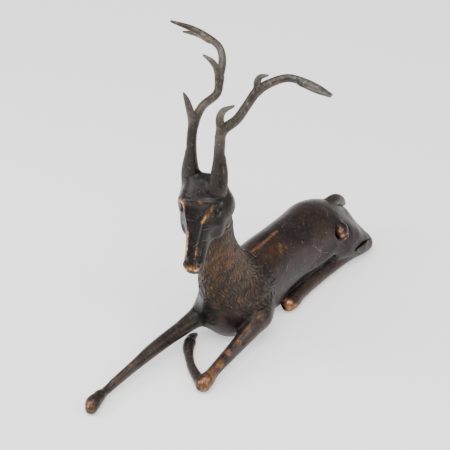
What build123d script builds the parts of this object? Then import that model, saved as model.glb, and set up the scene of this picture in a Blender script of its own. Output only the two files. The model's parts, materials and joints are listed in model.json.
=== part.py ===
"""Bronze statuette of a recumbent stag, lost-wax cast in sections.

Units are millimetres.  +Z is up, the stag faces -Y, its left side is +X.
The origin lies on the flat sole of the torso casting, under the middle of the statuette.

The hollow torso, neck and head are three castings that meet at Roman joints: an inner sleeve
bridges each seam and rivets filed flush hold it.  Legs, tail, ears and antlers are solid
castings with tenons or pegs that enter the shells and are cross-pinned or brazed.
"""
import os

from build123d import *

# ---- wall thicknesses and joint sizes -------------------------------------------------
TORSO_WALL = 4.0
NECK_WALL = 3.5
SLEEVE_WALL = 2.5
SLEEVE_CLEARANCE = 0.1
SLEEVE_REACH = 9.0            # how far a sleeve goes into each side of its seam
SLEEVE_PIN_DIAMETER = 3.0
TENON_DIAMETER = 8.0
TENON_OUTSIDE = 4.0           # root of a tenon ahead of the torso skin
HOLE_CLEARANCE = 0.2          # on the diameter
BOSS_DIAMETER = 15.0
BOSS_SKIN_GAP = 2.0           # bosses start inside the wall, never at its outer face
TENON_PIN_DIAMETER = 2.5
PIN_RUN = 60.0                # longer than any locking pin before it is filed flush
CROSS_ROD_LENGTH = 150.0      # wider than the neck
ANTLER_PEG_DIAMETER = 6.0
ANTLER_PEG_LENGTH = 12.0
ANTLER_PEG_OVERLAP = 18.0     # above the first section of the stem, into solid antler
ANTLER_PIN_DIAMETER = 2.0
ANTLER_PIN_DEPTH = 6.0        # below the antler seat
ANTLER_PIN_RUN = 45.0
EAR_PEG_DIAMETER = 4.0
EAR_PEG_LENGTH = 9.0
EAR_PEG_OUTWARD = 3.5         # root of the peg outside the middle of the ear
EAR_PEG_RISE = 8.0            # root of the peg above the foot of the ear
DOWEL_DIAMETER = 2.6
DOWEL_LENGTH = 12.0
CORE_HOLE_DIAMETER = 14.0
CORE_HOLES = [(0, 28), (0, 112)]
LIMB_SEAM_SIDE = (1, 1, -1)   # side on which every section of a limb starts
TAIL_SEAM_SIDE = (1, 0, 0)
END_BALL = 0.95               # ball at the end of a limb, as a share of its last radius

# ---- torso: (y, half width, centre height, half height) from breast to rump -------------
TORSO_SECTIONS = [
    (-47, 12, 33, 13),
    (-39, 22, 33, 25),
    (-22, 29, 34, 37),
    (8, 32, 35, 44),
    (40, 32, 37, 45),
    (82, 31, 36, 45),
    (125, 33, 35, 44),
    (150, 31, 31, 39),
    (172, 24, 27, 27),
    (186, 11, 26, 12),
]

# ---- neck: (x, y, z, half width, half depth), bottom to top; sections lean forward ------
NECK_SECTIONS = [
    (0, -3, 36, 29, 37),
    (-1, -15, 60, 27, 35),
    (-0.5, -26, 84, 22, 29),
    (0, -33.5, 105, 18.5, 24.5),
    (1, -38, 127, 17, 20),
    (3, -41, 149, 16.5, 18),
    (4, -43, 172, 16, 16),
]
NECK_LEAN = 22.0

# ---- head: (distance down the face, half width, half depth) ------------------------------
SKULL = (0, -54, 184)         # middle of the skull at brow height
HEAD_TURN = 18.0              # toward the stag's left
HEAD_ROLL = -6.0
FACE_PITCH = 54.0             # nose below the horizontal
FACE_FRONT = 22.0             # front of the face ahead of the skull axis
HEAD_WALL = 9.0
HEAD_SECTIONS = [
    (-27, 11, 11),
    (-19, 20, 18),
    (-5, 27, 22),
    (9, 25.5, 21.5),
    (26, 18.5, 17),
    (44, 12, 12.5),
    (60, 10.3, 10),
    (68, 8.5, 8),
]

# ---- seams (a point on each and the slope of the plane) --------------------------------
NECK_SEAM = (0, -14, 66)
NECK_SEAM_LEAN = 27.0
HEAD_SEAM = (4, -42, 152)
HEAD_SEAM_LEAN = 8.0

# ---- limbs: (x, y, z, radius) along the middle of each limb -----------------------------
RIGHT_FORELEG = [
    (-17, -26, 23, 12),
    (-24, -54, 20, 8.4),
    (-27, -87, 17.5, 7.2),
    (-29, -109, 15, 6.4),
    (-30, -132, 12.5, 5.4),
    (-31, -158, 9.5, 4.6),
    (-31, -180, 7.5, 4.6),
    (-30, -196, 7.8, 7.4),
    (-27, -204, 6.2, 6),
]
LEFT_FOREARM = [
    (27, 6, 27, 14),
    (32, -14, 22, 11.5),
    (34.5, -41, 16.5, 8),
    (36.5, -69, 14, 6.8),
    (38, -93, 11.5, 6.4),
    (40, -107, 8, 7.6),
]
LEFT_CANNON = [
    (39, -110, 7.4, 7),
    (26, -102, 7, 5.8),
    (13, -94, 6.6, 5),
    (-4, -78, 6.2, 5),
    (-12, -68, 6.6, 6.2),
    (-17, -57, 6, 5),
    (-18, -48, 4.5, 3),
]
LEFT_HIND_LEG = [
    (34.5, 182, 10.5, 9.5),
    (27.5, 150, 9.2, 8.4),
    (26.5, 110, 8.6, 8),
    (28, 68, 8.2, 7.4),
    (31, 50, 7.8, 7.6),
    (29.5, 44, 7, 6),
]
HAUNCH_TOP = (16, 140, 42, 16)
HAUNCH_FOOT = (31, 173, 16.5, 10)
TAIL = [
    (0, 142, 56, 6),
    (0, 158, 60, 7),
    (0, 172, 57.5, 7),
    (0, 183, 48, 6.5),
    (0, 187, 40, 5),
]
HAUNCH_KNOB = (27, 141.5, 49)
HAUNCH_KNOB_RADIUS = 8.5

# ---- ears: points up the middle, (x, y, z, half width, half thickness) ---------------------
RIGHT_EAR = [
    (-22, -54, 190, 5, 4.5),
    (-22.5, -54.5, 201, 6, 5),
    (-22, -55, 215, 5.4, 4.6),
    (-21.5, -55, 228, 3.6, 3.4),
    (-20.5, -55, 237, 1.4, 1.4),
]
LEFT_EAR = [
    (18.5, -51, 202, 5, 4.5),
    (19.5, -51, 212, 6, 5),
    (20, -51, 226, 5.4, 4.6),
    (20, -51, 238, 3.6, 3.4),
    (19, -51, 247, 1.4, 1.4),
]
EAR_HOLLOW = 4.8              # diameter of the groove down the front of an ear
EAR_HOLLOW_FORWARD = 4.0
EAR_BRAZE_GAP = 0.3           # between an ear and the antler beside it
STEM_FOOT = 8.0               # antler foot below its first section

# ---- antlers: (x, y, z, radius) ----------------------------------------------------------
RIGHT_STEM = [
    (-15, -53, 198, 8),
    (-16, -53, 210, 7),
    (-17, -53, 227, 5.7),
    (-17.2, -52.5, 250, 5.2),
    (-17.4, -48.5, 265, 5.2),
    (-20.5, -30, 274.6, 4.6),
    (-18.6, -10, 280.2, 4.4),
    (-23, -0.5, 292, 4.6),
    (-30, 13, 301.5, 4.2),
    (-40.5, 22, 308, 3.9),
    (-56.6, 26, 310.4, 3.8),
    (-76.2, 24, 315, 3.3),
    (-96, 16, 319, 1.4),
]
RIGHT_BROW_TINE = [(-16.7, -50, 268, 4.8), (-22.8, -49, 283.5, 3.6), (-30, -48, 294.5, 1.2)]
RIGHT_MID_TINE = [(-22, -2, 292, 4), (-28, -3, 306, 3.2), (-39, -5, 312.6, 1.2)]
RIGHT_TOP_TINE = [(-55, 25.5, 309, 3.4), (-71, 28, 308.5, 2.8), (-87, 25, 307.5, 1.2)]
LEFT_STEM = [
    (13, -53, 206, 8),
    (14, -53, 218, 7),
    (16.3, -53, 238, 5.8),
    (17.1, -52.5, 257, 5.4),
    (17.3, -50, 270, 5.4),
    (21.2, -30, 275.8, 5),
    (18.1, -10, 281.3, 4.8),
    (23.8, -1, 295, 4.8),
    (32.4, 13, 301.4, 4.4),
    (42.4, 22, 304.7, 4),
    (57.3, 26, 303.9, 4),
    (76.4, 24, 305, 3.4),
    (97, 16, 309, 1.4),
]
LEFT_TIP_SEAM = (42.4, 22, 304.7)
LEFT_TIP_DIRECTION = (25, 13, 2.5)
LEFT_BROW_TINE = [(17.3, -50, 272, 4.8), (15.3, -49, 287.3, 3.8), (30, -48, 303.6, 1.3)]
LEFT_MID_TINE = [(23.8, -1, 296, 4), (25.7, -3, 308.6, 3.2), (38, -5, 319, 1.2)]
LEFT_TOP_TINE = [(56, 25.5, 302.5, 3.4), (71.4, 28, 298.5, 2.8), (89, 25, 300, 1.2)]


# ---- helpers ------------------------------------------------------------------------------
def limb(points, side=LIMB_SEAM_SIDE):
    """Solid round limb swept through (x, y, z, radius) points, with a ball at each end."""
    centres = [Vector(*point[:3]) for point in points]
    with BuildPart() as shape:
        with BuildLine() as path:
            Spline(*centres)
        spine = path.edges()[0]
        for centre, point in zip(centres, points):
            heading = spine.tangent_at(spine.param_at_point(centre))
            with BuildSketch(Plane(centre, x_dir=side, z_dir=heading)):
                Circle(point[3])
        sweep(path=spine, multisection=True)
        for index in (0, -1):
            with Locations(centres[index]):
                Sphere(points[index][3] * END_BALL)
    return shape.part


def torso_solid(inset):
    """Torso skin moved inward by the inset."""
    with BuildPart() as shape:
        last = len(TORSO_SECTIONS) - 1
        for index, (y, half_width, height, half_height) in enumerate(TORSO_SECTIONS):
            along = y + inset * (index == 0) - inset * (index == last)
            plane = Plane(origin=(0, along, height), x_dir=(1, 0, 0), z_dir=(0, -1, 0))
            with BuildSketch(plane):
                Ellipse(half_width - inset, half_height - inset)
        loft()
        split(bisect_by=Plane.XY.offset(inset), keep=Keep.TOP)
    return shape.part


def neck_solid(inset):
    """Neck skin moved inward by the inset."""
    with BuildPart() as shape:
        for x, y, z, half_width, half_depth in NECK_SECTIONS:
            plane = Plane(origin=(x, y, z)).rotated((NECK_LEAN, 0, 0))
            with BuildSketch(plane):
                Ellipse(half_width - inset, half_depth - inset)
        loft()
    return shape.part


def head_frame():
    """Plane across the skull: x to the stag's left, y out of the face, z down the face."""
    place = Location(SKULL, (0, 0, HEAD_TURN))
    place = place * Location((0, 0, 0), (0, HEAD_ROLL, 0))
    place = place * Location((0, 0, 0), (90 + FACE_PITCH, 0, 0))
    return Plane(place)


def head_solid(inset):
    """Head skin moved inward by the inset; the front of the face stays straight."""
    skull = head_frame()
    with BuildPart() as shape:
        for along, half_width, half_depth in HEAD_SECTIONS:
            wide = half_width - inset
            deep = half_depth - inset
            if wide > 1 and deep > 1:
                with BuildSketch(skull.offset(along)):
                    with Locations((0, FACE_FRONT - half_depth)):
                        Ellipse(wide, deep)
        loft()
    return shape.part


def seam_plane(point, lean):
    """Plane across the neck, facing up it."""
    return Plane(origin=point).rotated((lean, 0, 0))


def sleeve(inner_wall, seam):
    """Ring that bridges a seam inside the neck."""
    with BuildPart() as ring:
        add(neck_solid(inner_wall + SLEEVE_CLEARANCE))
        add(neck_solid(inner_wall + SLEEVE_CLEARANCE + SLEEVE_WALL), mode=Mode.SUBTRACT)
        split(bisect_by=seam.offset(-SLEEVE_REACH), keep=Keep.TOP)
        split(bisect_by=seam.offset(SLEEVE_REACH), keep=Keep.BOTTOM)
    return ring.part


def cross_rods(seam, diameter):
    """Two rods from side to side through the neck, one on each side of a seam."""
    with BuildPart() as rods:
        for rise in (-SLEEVE_REACH / 2, SLEEVE_REACH / 2):
            middle = seam.offset(rise).origin
            with Locations(Location(middle, (0, 90, 0))):
                Cylinder(diameter / 2, CROSS_ROD_LENGTH)
    return rods.part


def rod(start, end, diameter):
    """Round rod between two points."""
    first, last = Vector(*start), Vector(*end)
    with BuildPart() as bar:
        with BuildSketch(Plane(origin=first, z_dir=last - first)):
            Circle(diameter / 2)
        extrude(amount=(last - first).length)
    return bar.part


def past(start, through, reach):
    """Point on the line from start through another point, a distance beyond start."""
    first, second = Vector(*start[:3]), Vector(*through[:3])
    step = first + (second - first).normalized() * reach
    return (step.X, step.Y, step.Z)


# ---- skins and cavities ------------------------------------------------------------------
neck_seam = seam_plane(NECK_SEAM, NECK_SEAM_LEAN)
head_seam = seam_plane(HEAD_SEAM, HEAD_SEAM_LEAN)

with BuildPart() as left_haunch:
    way = Vector(*HAUNCH_FOOT[:3]) - Vector(*HAUNCH_TOP[:3])
    for x, y, z, radius in (HAUNCH_TOP, HAUNCH_FOOT):
        with BuildSketch(Plane((x, y, z), z_dir=way)):
            Circle(radius)
    loft()
    with Locations(HAUNCH_FOOT[:3]):
        Sphere(HAUNCH_FOOT[3] * END_BALL)

with BuildPart() as body_skin:
    add(torso_solid(0))
    add(neck_solid(0))
    add(left_haunch.part)
    add(left_haunch.part.mirror(Plane.YZ))
    split(bisect_by=Plane.XY, keep=Keep.TOP)

with BuildPart() as body_cavity:
    add(torso_solid(TORSO_WALL))
    add(neck_solid(NECK_WALL))

with BuildPart() as head_skin:
    add(head_solid(0))

neck_rods = cross_rods(neck_seam, SLEEVE_PIN_DIAMETER)
head_rods = cross_rods(head_seam, SLEEVE_PIN_DIAMETER)

# ---- tenons: (seat on the skin, end inside the torso, way the locking pin runs out) --------
TENONS = {
    "right_foreleg": ((-22, -40, 22), (-14, -12, 27), (-1, 0, 0)),
    "left_foreleg": ((28, -14, 24), (18, 14, 27), (1, 0, 0)),
    "right_hind_leg": ((-28, 150, 10), (-13, 132, 17), (0, 0, -1)),
    "left_hind_leg": ((28, 150, 10), (13, 132, 17), (0, 0, -1)),
    "tail": ((0, 158, 60), (0, 138, 52), (0, 0, 1)),
}


def tenon(name, diameter):
    """Round tenon from just outside the skin to its end inside the torso."""
    seat, inside, _ = TENONS[name]
    return rod(past(seat, inside, -TENON_OUTSIDE), inside, diameter)


def locking_rod(name):
    """Rod across a tenon, from behind it out through the skin."""
    seat, inside, way = TENONS[name]
    middle = (Vector(*seat) + Vector(*inside)) / 2
    out = Vector(*way)
    start = middle - out * (TENON_DIAMETER / 2 + 1)
    end = middle + out * PIN_RUN
    return rod((start.X, start.Y, start.Z), (end.X, end.Y, end.Z), TENON_PIN_DIAMETER)


def limb_casting(skins, name):
    """Limb trimmed to the floor and to the body skin, with its drilled tenon."""
    with BuildPart() as casting:
        for skin in skins:
            add(skin)
        split(bisect_by=Plane.XY, keep=Keep.TOP)
        add(body_skin.part, mode=Mode.SUBTRACT)
        add(tenon(name, TENON_DIAMETER))
        add(locking_rod(name), mode=Mode.SUBTRACT)
    return casting.part


with BuildPart() as bosses:
    for name in TENONS:
        add(tenon(name, BOSS_DIAMETER))
    add(torso_solid(BOSS_SKIN_GAP), mode=Mode.INTERSECT)

with BuildPart() as locking_rods:
    for name in TENONS:
        add(locking_rod(name))

# ---- torso: hollow casting with a flat sole and two core holes -----------------------------
with BuildPart() as torso_shell:
    add(body_skin.part)
    with Locations(HAUNCH_KNOB):
        Sphere(HAUNCH_KNOB_RADIUS)
    add(body_cavity.part, mode=Mode.SUBTRACT)
    add(bosses.part)
    split(bisect_by=neck_seam, keep=Keep.BOTTOM)
    for name in TENONS:
        add(tenon(name, TENON_DIAMETER + HOLE_CLEARANCE), mode=Mode.SUBTRACT)
    add(locking_rods.part, mode=Mode.SUBTRACT)
    add(neck_rods, mode=Mode.SUBTRACT)
    with Locations(*CORE_HOLES):
        Cylinder(CORE_HOLE_DIAMETER / 2, 2 * TORSO_WALL, mode=Mode.SUBTRACT)

with BuildPart() as core_plugs:
    with Locations(*CORE_HOLES):
        Cylinder(CORE_HOLE_DIAMETER / 2, TORSO_WALL, align=(Align.CENTER, Align.CENTER, Align.MIN))

with BuildPart() as tenon_pins:
    add(locking_rods.part)
    add(body_skin.part, mode=Mode.INTERSECT)

# ---- neck ----------------------------------------------------------------------------------
with BuildPart() as neck_shell:
    add(body_skin.part)
    split(bisect_by=neck_seam, keep=Keep.TOP)
    split(bisect_by=head_seam, keep=Keep.BOTTOM)
    add(body_cavity.part, mode=Mode.SUBTRACT)
    add(head_skin.part, mode=Mode.SUBTRACT)
    add(neck_rods, mode=Mode.SUBTRACT)
    add(head_rods, mode=Mode.SUBTRACT)

neck_core = neck_solid(NECK_WALL + SLEEVE_CLEARANCE + SLEEVE_WALL)

with BuildPart() as neck_sleeve:
    add(sleeve(NECK_WALL, neck_seam))
    add(neck_rods, mode=Mode.SUBTRACT)

with BuildPart() as head_sleeve:
    add(sleeve(NECK_WALL, head_seam))
    add(head_rods, mode=Mode.SUBTRACT)

with BuildPart() as neck_sleeve_pins:
    add(neck_rods)
    add(body_skin.part, mode=Mode.INTERSECT)
    add(neck_core, mode=Mode.SUBTRACT)

with BuildPart() as throat:
    add(neck_solid(0))
    split(bisect_by=head_seam, keep=Keep.TOP)

with BuildPart() as head_outside:
    add(head_skin.part)
    add(throat.part)

with BuildPart() as neck_and_head:
    add(head_outside.part)
    add(neck_solid(0))

with BuildPart() as head_sleeve_pins:
    add(head_rods)
    add(neck_and_head.part, mode=Mode.INTERSECT)
    add(neck_core, mode=Mode.SUBTRACT)


# ---- antlers -------------------------------------------------------------------------------
def antler_peg(stem, diameter):
    """Peg under an antler, standing in the skull."""
    x, y, z, _ = stem[0]
    return rod((x, y, z + ANTLER_PEG_OVERLAP), (x, y, z - ANTLER_PEG_LENGTH), diameter)


def ear_peg(points, diameter):
    """Peg from the outer side of an ear's foot toward the middle of the skull."""
    x, y, z, _, _ = points[0]
    outward = EAR_PEG_OUTWARD if x > 0 else -EAR_PEG_OUTWARD
    foot = (x + outward, y, z + EAR_PEG_RISE)
    return rod(foot, past(foot, SKULL, EAR_PEG_LENGTH), diameter)


def antler_rod(stem):
    """Rod from the back of the skull through an antler peg."""
    x, y, z, _ = stem[0]
    level = z - ANTLER_PIN_DEPTH
    ahead = y - ANTLER_PEG_DIAMETER / 2 - 1
    return rod((x, ahead, level), (x, ahead + ANTLER_PIN_RUN, level), ANTLER_PIN_DIAMETER)


with BuildPart() as antler_rods:
    for stem in (RIGHT_STEM, LEFT_STEM):
        add(antler_rod(stem))

with BuildPart() as right_antler:
    for branch in (RIGHT_STEM, RIGHT_BROW_TINE, RIGHT_MID_TINE, RIGHT_TOP_TINE):
        add(limb(branch))
    add(head_skin.part, mode=Mode.SUBTRACT)
    add(antler_peg(RIGHT_STEM, ANTLER_PEG_DIAMETER))
    add(antler_rods.part, mode=Mode.SUBTRACT)
    add(ear_peg(RIGHT_EAR, EAR_PEG_DIAMETER + HOLE_CLEARANCE), mode=Mode.SUBTRACT)

tip_seam = Plane(origin=LEFT_TIP_SEAM, z_dir=LEFT_TIP_DIRECTION)
left_beam = limb(LEFT_STEM)

with BuildPart() as dowel:
    with BuildSketch(tip_seam):
        Circle(DOWEL_DIAMETER / 2)
    extrude(amount=DOWEL_LENGTH / 2, both=True)

with BuildPart() as left_antler:
    add(left_beam)
    for branch in (LEFT_BROW_TINE, LEFT_MID_TINE):
        add(limb(branch))
    split(bisect_by=tip_seam, keep=Keep.BOTTOM)
    add(head_skin.part, mode=Mode.SUBTRACT)
    add(antler_peg(LEFT_STEM, ANTLER_PEG_DIAMETER))
    add(antler_rods.part, mode=Mode.SUBTRACT)
    add(ear_peg(LEFT_EAR, EAR_PEG_DIAMETER + HOLE_CLEARANCE), mode=Mode.SUBTRACT)
    add(dowel.part, mode=Mode.SUBTRACT)

with BuildPart() as left_antler_tip:
    add(left_beam)
    add(limb(LEFT_TOP_TINE))
    split(bisect_by=tip_seam, keep=Keep.TOP)
    add(dowel.part, mode=Mode.SUBTRACT)

with BuildPart() as antler_pins:
    add(antler_rods.part)
    add(head_skin.part, mode=Mode.INTERSECT)
    add(head_solid(HEAD_WALL), mode=Mode.SUBTRACT)


# ---- ears ----------------------------------------------------------------------------------
def ear_skin(points):
    """Upright leaf of oval sections with a groove down its front."""
    with BuildPart() as leaf:
        for x, y, z, half_width, half_thickness in points:
            place = Plane(Location((x, y, z), (0, 0, HEAD_TURN)))
            with BuildSketch(place):
                Ellipse(half_width, half_thickness)
        loft()
        low, high = [(x, y - EAR_HOLLOW_FORWARD, z) for x, y, z, _, _ in (points[1], points[3])]
        add(rod(low, high, EAR_HOLLOW), mode=Mode.SUBTRACT)
    return leaf.part


def stem_room(stem):
    """Stacked cones round the lower antler, a braze gap larger than it, above the skull."""
    foot = (*past(stem[0], stem[1], -STEM_FOOT), stem[0][3])
    with BuildPart() as room:
        for x, y, z, radius in (foot, *stem[:4]):
            with BuildSketch(Plane((x, y, z))):
                Circle(radius + EAR_BRAZE_GAP)
        loft(ruled=True)
        add(head_skin.part, mode=Mode.SUBTRACT)
    return room.part


with BuildPart() as right_ear:
    add(ear_skin(RIGHT_EAR))
    add(head_skin.part, mode=Mode.SUBTRACT)
    add(stem_room(RIGHT_STEM), mode=Mode.SUBTRACT)
    add(ear_peg(RIGHT_EAR, EAR_PEG_DIAMETER))

with BuildPart() as left_ear:
    add(ear_skin(LEFT_EAR))
    add(head_skin.part, mode=Mode.SUBTRACT)
    add(stem_room(LEFT_STEM), mode=Mode.SUBTRACT)
    add(ear_peg(LEFT_EAR, EAR_PEG_DIAMETER))

# ---- head ----------------------------------------------------------------------------------
with BuildPart() as head_casting:
    add(head_outside.part)
    add(head_solid(HEAD_WALL), mode=Mode.SUBTRACT)
    add(neck_solid(NECK_WALL), mode=Mode.SUBTRACT)
    for stem in (RIGHT_STEM, LEFT_STEM):
        add(antler_peg(stem, ANTLER_PEG_DIAMETER + HOLE_CLEARANCE), mode=Mode.SUBTRACT)
    for ear in (RIGHT_EAR, LEFT_EAR):
        add(ear_peg(ear, EAR_PEG_DIAMETER + HOLE_CLEARANCE), mode=Mode.SUBTRACT)
    add(antler_rods.part, mode=Mode.SUBTRACT)
    add(head_rods, mode=Mode.SUBTRACT)

# ---- legs and tail -------------------------------------------------------------------------
right_hind_skin = [(-x, y, z, radius) for x, y, z, radius in LEFT_HIND_LEG]

with BuildPart() as right_foreleg:
    add(limb_casting([limb(RIGHT_FORELEG)], "right_foreleg"))

with BuildPart() as left_foreleg:
    add(limb_casting([limb(LEFT_FOREARM), limb(LEFT_CANNON)], "left_foreleg"))

with BuildPart() as right_hind_leg:
    add(limb_casting([limb(right_hind_skin)], "right_hind_leg"))

with BuildPart() as left_hind_leg:
    add(limb_casting([limb(LEFT_HIND_LEG)], "left_hind_leg"))

with BuildPart() as tail:
    add(limb_casting([limb(TAIL, TAIL_SEAM_SIDE)], "tail"))

# ---- export --------------------------------------------------------------------------------
NODES = {
    "torso_shell": torso_shell,
    "neck_shell": neck_shell,
    "head_casting": head_casting,
    "right_antler": right_antler,
    "left_antler": left_antler,
    "left_antler_tip": left_antler_tip,
    "right_ear": right_ear,
    "left_ear": left_ear,
    "right_foreleg": right_foreleg,
    "left_foreleg": left_foreleg,
    "right_hind_leg": right_hind_leg,
    "left_hind_leg": left_hind_leg,
    "tail": tail,
    "neck_sleeve": neck_sleeve,
    "head_sleeve": head_sleeve,
    "neck_sleeve_pins": neck_sleeve_pins,
    "head_sleeve_pins": head_sleeve_pins,
    "tenon_pins": tenon_pins,
    "antler_pins": antler_pins,
    "left_tip_dowel": dowel,
    "core_plugs": core_plugs,
}

os.makedirs("parts", exist_ok=True)
for label, node in NODES.items():
    node.part.label = label
    export_step(node.part, f"parts/{label}.step")
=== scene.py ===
"""Bronze recumbent stag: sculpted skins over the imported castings, patina, floor, light, camera.

The sculpt works in millimetres from the sole mount of the record; Blender objects are in metres.
Each visible casting is cut from signed distance fields, inside the box of its CAD node.
"""
import json
import math

import bpy
import numpy as np
import openvdb
from mathutils import Euler, Matrix, Vector


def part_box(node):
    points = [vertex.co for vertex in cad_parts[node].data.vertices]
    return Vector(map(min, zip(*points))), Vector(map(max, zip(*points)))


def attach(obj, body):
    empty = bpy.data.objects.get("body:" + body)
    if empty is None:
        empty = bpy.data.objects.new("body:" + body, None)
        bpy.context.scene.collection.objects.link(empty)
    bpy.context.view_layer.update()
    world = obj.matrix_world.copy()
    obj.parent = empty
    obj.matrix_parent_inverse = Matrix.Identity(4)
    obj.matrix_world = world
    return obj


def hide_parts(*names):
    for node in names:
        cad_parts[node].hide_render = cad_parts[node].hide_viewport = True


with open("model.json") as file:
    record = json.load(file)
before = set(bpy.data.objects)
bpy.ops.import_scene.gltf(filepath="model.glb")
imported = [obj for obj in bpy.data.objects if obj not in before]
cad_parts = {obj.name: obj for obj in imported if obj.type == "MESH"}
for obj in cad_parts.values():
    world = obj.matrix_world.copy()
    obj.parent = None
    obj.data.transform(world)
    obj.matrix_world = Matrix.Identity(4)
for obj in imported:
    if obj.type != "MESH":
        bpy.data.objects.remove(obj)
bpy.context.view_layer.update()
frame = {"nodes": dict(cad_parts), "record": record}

MM = 0.001
FAR = 9.0                      # field value away from every surface, mm
REACH = 7.0                    # distances are right this far outside each shape, mm
COARSE = 1.0

SOLE = Vector(frame["record"]["mounts"][0]["pos_m"]) / MM


def box_mm(node):
    """Box of a CAD node in millimetres from the sole."""
    low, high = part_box(node)
    return np.array(low / MM - SOLE), np.array(high / MM - SOLE)


# ---- field kit -----------------------------------------------------------------------------
def smooth_min(a, b, blend):
    """Union of two fields with a fillet about as wide as the blend."""
    if blend <= 0:
        return np.minimum(a, b)
    near = np.maximum(blend - np.abs(a - b), 0) / blend
    return np.minimum(a, b) - near * near * blend / 4


def smooth_max(a, b, blend):
    return -smooth_min(-a, -b, blend)


def blur(field, cells):
    """Box blur of a field, done twice along each axis."""
    out = field
    for _ in range(2):
        for axis in range(3):
            padded = np.concatenate(
                [np.repeat(out.take([0], axis), cells + 1, axis), out,
                 np.repeat(out.take([-1], axis), cells, axis)], axis)
            total = np.cumsum(padded, axis=axis, dtype=np.float64)
            span = 2 * cells + 1
            count = out.shape[axis]
            upper = total.take(range(span, span + count), axis)
            lower = total.take(range(0, count), axis)
            out = ((upper - lower) / span).astype(np.float32)
    return out


class Field:
    """Signed distances, in mm, on a regular grid."""

    def __init__(self, low, high, cell):
        self.cell = cell * COARSE
        self.low = np.array(low, float)
        count = np.ceil((np.array(high, float) - self.low) / self.cell).astype(int) + 1
        self.axes = [
            (self.low[i] + self.cell * np.arange(count[i])).astype(np.float32) for i in range(3)
        ]
        self.d = np.full(tuple(count), FAR, np.float32)

    def window(self, low, high):
        """Slices of the grid between two corners, or None when they miss it."""
        cut = []
        for i in range(3):
            first = max(int(math.floor((low[i] - self.low[i]) / self.cell)), 0)
            last = min(int(math.ceil((high[i] - self.low[i]) / self.cell)) + 1, self.d.shape[i])
            if first >= last:
                return None
            cut.append(slice(first, last))
        return tuple(cut)

    def points(self, cut):
        return np.ix_(*[self.axes[i][cut[i]] for i in range(3)])

    def merge(self, shape, mode="add", blend=0.0):
        """Combine with a shape: (low corner, high corner, function of x, y, z)."""
        low, high, distance = shape
        reach = blend + REACH
        cut = self.window(np.array(low) - reach, np.array(high) + reach)
        if cut is None:
            return
        x, y, z = self.points(cut)
        if isinstance(distance, list):
            joined = Field(self.low, self.low, self.cell / COARSE)
            joined.axes, joined.d = self.axes, np.full_like(self.d, FAR)
            for part in distance:
                joined.merge(part)
            other = joined.d[cut]
        else:
            other = distance(x, y, z).astype(np.float32)
        mine = self.d[cut]
        if mode == "add":
            self.d[cut] = smooth_min(mine, other, blend)
        else:
            self.d[cut] = smooth_max(mine, -other, blend)

    def sample(self, points, values=None):
        """Trilinear values at points, of this field or of others on its grid."""
        grid = self.d if values is None else values
        where = (points - self.low) / self.cell
        base = np.clip(np.floor(where).astype(int), 0, np.array(grid.shape) - 2)
        part = np.clip(where - base, 0, 1)
        total = np.zeros(len(points))
        for corner in np.ndindex(2, 2, 2):
            weight = np.ones(len(points))
            for i in range(3):
                weight *= part[:, i] if corner[i] else 1 - part[:, i]
            knot = base + corner
            total += weight * grid[knot[:, 0], knot[:, 1], knot[:, 2]]
        return total

    def mesh(self):
        """Closed surface at distance zero: points in mm and quads."""
        grid = openvdb.FloatGrid(FAR)
        grid.copyFromArray(np.clip(self.d, -FAR, FAR))
        points, quads = grid.convertToQuads(0.0)
        return points * self.cell + self.low, quads


def cone(a, b, ra, rb=None):
    """Round cone between two points."""
    a, b = np.array(a, float), np.array(b, float)
    rb = ra if rb is None else rb
    biggest = max(ra, rb)
    low, high = np.minimum(a, b) - biggest, np.maximum(a, b) + biggest
    along = b - a
    length2 = max(float(along @ along), 1e-6)

    def distance(x, y, z):
        share = ((x - a[0]) * along[0] + (y - a[1]) * along[1] + (z - a[2]) * along[2]) / length2
        share = np.clip(share, 0, 1)
        gap2 = ((x - a[0] - share * along[0]) ** 2 + (y - a[1] - share * along[1]) ** 2
                + (z - a[2] - share * along[2]) ** 2)
        return np.sqrt(gap2) - (ra + (rb - ra) * share)

    return low, high, distance


def curve(points, parts=5):
    """Smooth (x, y, z, radius) curve through points, each gap split into equal parts."""
    rows = np.array(points, float)
    lengths = np.linalg.norm(np.diff(rows[:, :3], axis=0), axis=1)
    s = np.concatenate([[0], np.cumsum(np.sqrt(lengths))])
    slopes = np.gradient(rows, s, axis=0)
    out = []
    for k in range(len(rows) - 1):
        h = s[k + 1] - s[k]
        for t in np.arange(parts) / parts:
            out.append(
                (2 * t**3 - 3 * t**2 + 1) * rows[k] + (t**3 - 2 * t**2 + t) * h * slopes[k]
                + (-2 * t**3 + 3 * t**2) * rows[k + 1] + (t**3 - t**2) * h * slopes[k + 1])
    out.append(rows[-1])
    return out


def chain(points, parts=5):
    """Round cones along a smooth curve through a list of (x, y, z, radius)."""
    bent = curve(points, parts)
    return [cone(p[:3], q[:3], p[3], q[3]) for p, q in zip(bent, bent[1:])]


def egg(centre, radii, turn=(0, 0, 0)):
    """Ellipsoid, turned by Euler angles in degrees or by a 3x3 matrix."""
    centre, radii = np.array(centre, float), np.array(radii, float)
    if isinstance(turn, np.ndarray):
        spin = turn
    else:
        spin = np.array(Euler([math.radians(t) for t in turn]).to_matrix())
    reach = float(radii.max())

    def distance(x, y, z):
        dx, dy, dz = x - centre[0], y - centre[1], z - centre[2]
        local = [dx * spin[0, i] + dy * spin[1, i] + dz * spin[2, i] for i in range(3)]
        near = np.sqrt(sum((local[i] / radii[i]) ** 2 for i in range(3))) + 1e-6
        steep = np.sqrt(sum((local[i] / radii[i] ** 2) ** 2 for i in range(3))) + 1e-6
        return near * (near - 1) / steep

    return centre - reach, centre + reach, distance


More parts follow.
